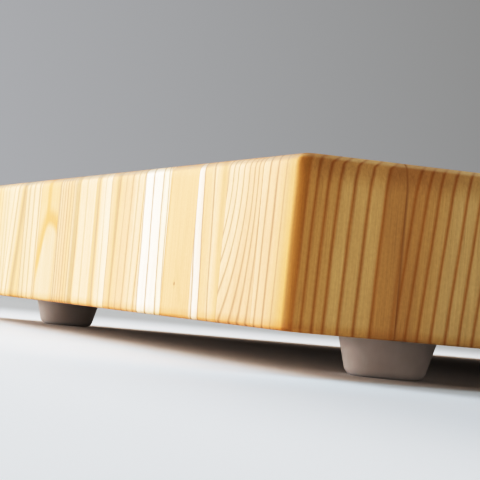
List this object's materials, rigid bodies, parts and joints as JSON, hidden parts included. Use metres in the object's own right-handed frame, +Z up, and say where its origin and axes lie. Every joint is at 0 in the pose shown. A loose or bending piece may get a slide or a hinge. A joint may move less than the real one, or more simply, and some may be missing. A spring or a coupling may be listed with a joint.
{
  "type": "butcher block cutting board",
  "caption": "Thick rectangular end-grain pine cutting board of upright glued blocks with rounded edges, standing on tapered rubber feet held by screws.",
  "frame": {"origin": "on the worktop plane under the middle of the board", "axes": "+X along the board's length, towards the end with the narrow corner block; +Y across the board from front to back; +Z up, out of the cutting surface"},
  "size_m": [0.4, 0.3, 0.0503],
  "materials": {
    "pine": "oiled, satin, end grain up",
    "rubber": "matt warm grey",
    "steel": "zinc-plated"
  },
  "bodies": {
    "root": {"block_row01_back": "pine", "block_row01_front": "pine", "block_row01_middle": "pine", "block_row02_back": "pine", "block_row02_front": "pine", "block_row02_middle": "pine", "block_row03_back": "pine", "block_row03_front": "pine", "block_row03_middle": "pine", "block_row04_back": "pine", "block_row04_front": "pine", "block_row04_middle": "pine", "block_row05_back": "pine", "block_row05_front": "pine", "block_row05_middle": "pine", "block_row06_back": "pine", "block_row06_front": "pine", "block_row07_back": "pine", "block_row07_front": "pine", "block_row07_middle": "pine", "block_row08_back": "pine", "block_row08_front": "pine", "block_row08_middle": "pine", "block_row09_back": "pine", "block_row09_front": "pine", "block_row09_middle": "pine", "block_row10_back": "pine", "block_row10_front": "pine", "block_row10_middle": "pine", "block_row11_back": "pine", "block_row11_front": "pine", "block_row12_back": "pine", "block_row12_front": "pine", "block_row12_middle": "pine", "block_row13_back": "pine", "block_row13_front": "pine", "block_row13_middle": "pine", "block_row14_back": "pine", "block_row14_front": "pine", "block_row15_back": "pine", "block_row15_front": "pine", "block_row15_middle": "pine", "block_row16_back": "pine", "block_row16_front": "pine", "block_row16_middle": "pine", "block_row17_back": "pine", "block_row17_front": "pine", "block_row17_middle": "pine", "foot_front_left": "rubber", "foot_front_right": "rubber", "foot_rear_left": "rubber", "foot_rear_right": "rubber", "screw_front_left": "steel", "screw_front_right": "steel", "screw_rear_left": "steel", "screw_rear_right": "steel", "washer_front_left": "steel", "washer_front_right": "steel", "washer_rear_left": "steel", "washer_rear_right": "steel"}
  },
  "joints": []
}
